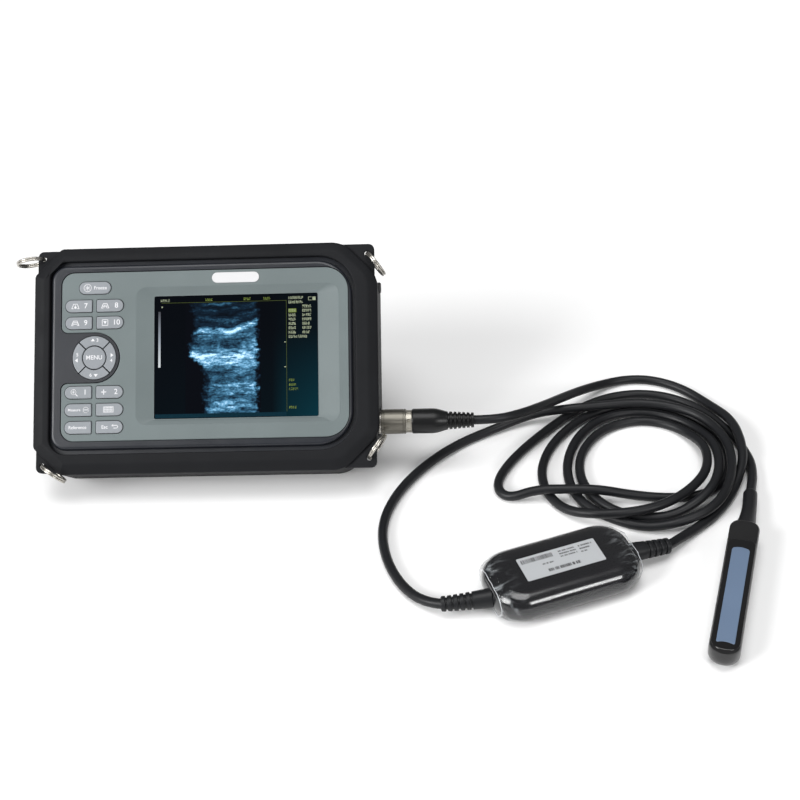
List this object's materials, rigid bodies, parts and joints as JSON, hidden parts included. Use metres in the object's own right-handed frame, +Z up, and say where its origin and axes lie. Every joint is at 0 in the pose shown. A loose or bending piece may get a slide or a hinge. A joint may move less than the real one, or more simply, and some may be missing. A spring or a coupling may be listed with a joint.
{
  "type": "portable veterinary ultrasound scanner",
  "caption": "Hand-held veterinary ultrasound scanner with rubber bumper, keypad, display, strap rings, kickstand, in-line cable box and rectal linear probe.",
  "frame": {"origin": "middle of the flat strip along the bumper's lower rear edge, on the table", "axes": "+X to the right along the console, towards the plug; the display faces -Y and up; +Z up from the table"},
  "size_m": [0.5186, 0.3046, 0.1401],
  "materials": {
    "bumper_rubber": "matte moulded rubber",
    "bezel_plastic": "fine-textured dark grey plastic",
    "panel_plastic": "smooth satin grey-green inlay",
    "badge_plastic": "smooth white, blank",
    "screen_glass": "clear cover over a dark display",
    "display_metal": "plain sheet",
    "circuit_board": "solder-masked board",
    "steel": "plain",
    "battery_plastic": "plain",
    "key_silicone": "satin light grey silicone",
    "button_rubber": "satin rubber",
    "nickel": "nickel plate",
    "plug_black": "satin black",
    "cord_rubber": "satin black jacket",
    "box_plastic": "glossy black",
    "label_paper": "coated white label",
    "clear_film": "clear shrink film",
    "probe_plastic": "satin black",
    "probe_lens": "smooth blue-grey lens",
    "probe_ceramic": "plain"
  },
  "bodies": {
    "console_body": {"rubber_bumper": "bumper_rubber", "front_bezel": "bezel_plastic", "front_panel": "panel_plastic", "name_badge": "badge_plastic", "display_window": "screen_glass", "display_module": "display_metal", "keypad_board": "circuit_board", "main_board": "circuit_board", "rear_cover": "bezel_plastic", "case_screws": "steel", "battery_pack": "battery_plastic", "battery_door": "bezel_plastic", "kickstand_pin": "steel", "probe_socket": "nickel", "plug_core": "plug_black", "plug_sleeve": "nickel", "plug_ring": "nickel", "plug_body": "plug_black", "plug_relief": "cord_rubber", "console_cord": "cord_rubber", "probe_cord": "cord_rubber", "inline_box_top": "box_plastic", "inline_box_bottom": "box_plastic", "inline_box_relief_probe": "cord_rubber", "inline_box_relief_console": "cord_rubber", "inline_box_label": "label_paper", "inline_box_film": "clear_film", "inline_box_board": "circuit_board", "inline_box_screws": "steel", "probe_boot": "cord_rubber", "probe_housing": "probe_plastic", "probe_window": "probe_lens", "probe_array": "probe_ceramic"},
    "battery_latch_body": {"battery_latch": "bezel_plastic"},
    "key_1_body": {"key_1": "key_silicone"},
    "key_10_body": {"key_10": "key_silicone"},
    "key_2_body": {"key_2": "key_silicone"},
    "key_7_body": {"key_7": "key_silicone"},
    "key_8_body": {"key_8": "key_silicone"},
    "key_9_body": {"key_9": "key_silicone"},
    "key_down_body": {"key_down": "key_silicone"},
    "key_escape_body": {"key_escape": "key_silicone"},
    "key_freeze_body": {"key_freeze": "key_silicone"},
    "key_keyboard_body": {"key_keyboard": "key_silicone"},
    "key_left_body": {"key_left": "key_silicone"},
    "key_measure_body": {"key_measure": "key_silicone"},
    "key_menu_body": {"key_menu": "key_silicone"},
    "key_reference_body": {"key_reference": "key_silicone"},
    "key_right_body": {"key_right": "key_silicone"},
    "key_up_body": {"key_up": "key_silicone"},
    "kickstand_body": {"kickstand": "bezel_plastic"},
    "power_button_body": {"power_button": "button_rubber"},
    "strap_ring_1_body": {"strap_ring_1": "nickel"},
    "strap_ring_2_body": {"strap_ring_2": "nickel"},
    "strap_ring_3_body": {"strap_ring_3": "nickel"},
    "strap_ring_4_body": {"strap_ring_4": "nickel"}
  },
  "joints": [
    {"name": "key_freeze_press", "type": "slide", "parent": "console_body", "child": "key_freeze_body", "axis": [0, 0.7071, -0.7071], "range_m": [0, 0.0008], "stiffness_N_per_m": 1500},
    {"name": "key_7_press", "type": "slide", "parent": "console_body", "child": "key_7_body", "axis": [0, 0.7071, -0.7071], "range_m": [0, 0.0008], "stiffness_N_per_m": 1500},
    {"name": "key_8_press", "type": "slide", "parent": "console_body", "child": "key_8_body", "axis": [0, 0.7071, -0.7071], "range_m": [0, 0.0008], "stiffness_N_per_m": 1500},
    {"name": "key_9_press", "type": "slide", "parent": "console_body", "child": "key_9_body", "axis": [0, 0.7071, -0.7071], "range_m": [0, 0.0008], "stiffness_N_per_m": 1500},
    {"name": "key_10_press", "type": "slide", "parent": "console_body", "child": "key_10_body", "axis": [0, 0.7071, -0.7071], "range_m": [0, 0.0008], "stiffness_N_per_m": 1500},
    {"name": "key_1_press", "type": "slide", "parent": "console_body", "child": "key_1_body", "axis": [0, 0.7071, -0.7071], "range_m": [0, 0.0008], "stiffness_N_per_m": 1500},
    {"name": "key_2_press", "type": "slide", "parent": "console_body", "child": "key_2_body", "axis": [0, 0.7071, -0.7071], "range_m": [0, 0.0008], "stiffness_N_per_m": 1500},
    {"name": "key_measure_press", "type": "slide", "parent": "console_body", "child": "key_measure_body", "axis": [0, 0.7071, -0.7071], "range_m": [0, 0.0008], "stiffness_N_per_m": 1500},
    {"name": "key_keyboard_press", "type": "slide", "parent": "console_body", "child": "key_keyboard_body", "axis": [0, 0.7071, -0.7071], "range_m": [0, 0.0008], "stiffness_N_per_m": 1500},
    {"name": "key_reference_press", "type": "slide", "parent": "console_body", "child": "key_reference_body", "axis": [0, 0.7071, -0.7071], "range_m": [0, 0.0008], "stiffness_N_per_m": 1500},
    {"name": "key_escape_press", "type": "slide", "parent": "console_body", "child": "key_escape_body", "axis": [0, 0.7071, -0.7071], "range_m": [0, 0.0008], "stiffness_N_per_m": 1500},
    {"name": "key_up_press", "type": "slide", "parent": "console_body", "child": "key_up_body", "axis": [0, 0.7071, -0.7071], "range_m": [0, 0.0008], "stiffness_N_per_m": 1500},
    {"name": "key_left_press", "type": "slide", "parent": "console_body", "child": "key_left_body", "axis": [0, 0.7071, -0.7071], "range_m": [0, 0.0008], "stiffness_N_per_m": 1500},
    {"name": "key_down_press", "type": "slide", "parent": "console_body", "child": "key_down_body", "axis": [0, 0.7071, -0.7071], "range_m": [0, 0.0008], "stiffness_N_per_m": 1500},
    {"name": "key_right_press", "type": "slide", "parent": "console_body", "child": "key_right_body", "axis": [0, 0.7071, -0.7071], "range_m": [0, 0.0008], "stiffness_N_per_m": 1500},
    {"name": "key_menu_press", "type": "slide", "parent": "console_body", "child": "key_menu_body", "axis": [0, 0.7071, -0.7071], "range_m": [0, 0.0008], "stiffness_N_per_m": 1500},
    {"name": "power_button_press", "type": "slide", "parent": "console_body", "child": "power_button_body", "axis": [-1, 0, 0], "range_m": [0, 0.0008], "stiffness_N_per_m": 1500},
    {"name": "battery_latch_slide", "type": "slide", "parent": "console_body", "child": "battery_latch_body", "axis": [0, -0.7071, -0.7071], "range_m": [0, 0.004], "stiffness_N_per_m": 400},
    {"name": "kickstand_hinge", "type": "hinge", "parent": "console_body", "child": "kickstand_body", "pos_m": [0, 0.07135, 0.07361], "axis": [1, 0, 0], "range_deg": [-67.5, 0]},
    {"name": "strap_ring_1_swing", "type": "hinge", "parent": "console_body", "child": "strap_ring_1_body", "pos_m": [-0.115, 0.08146, 0.13308], "axis": [0, -0.7071, 0.7071], "range_deg": [-130, 28]},
    {"name": "strap_ring_2_swing", "type": "hinge", "parent": "console_body", "child": "strap_ring_2_body", "pos_m": [0.1138, 0.08061, 0.13223], "axis": [0, -0.7071, 0.7071], "range_deg": [-2, 140]},
    {"name": "strap_ring_3_swing", "type": "hinge", "parent": "console_body", "child": "strap_ring_3_body", "pos_m": [0.1138, -0.02121, 0.03041], "axis": [0, -0.7071, 0.7071], "range_deg": [-140, 2]},
    {"name": "strap_ring_4_swing", "type": "hinge", "parent": "console_body", "child": "strap_ring_4_body", "pos_m": [-0.115, -0.02206, 0.02956], "axis": [0, -0.7071, 0.7071], "range_deg": [-140, 1]}
  ]
}
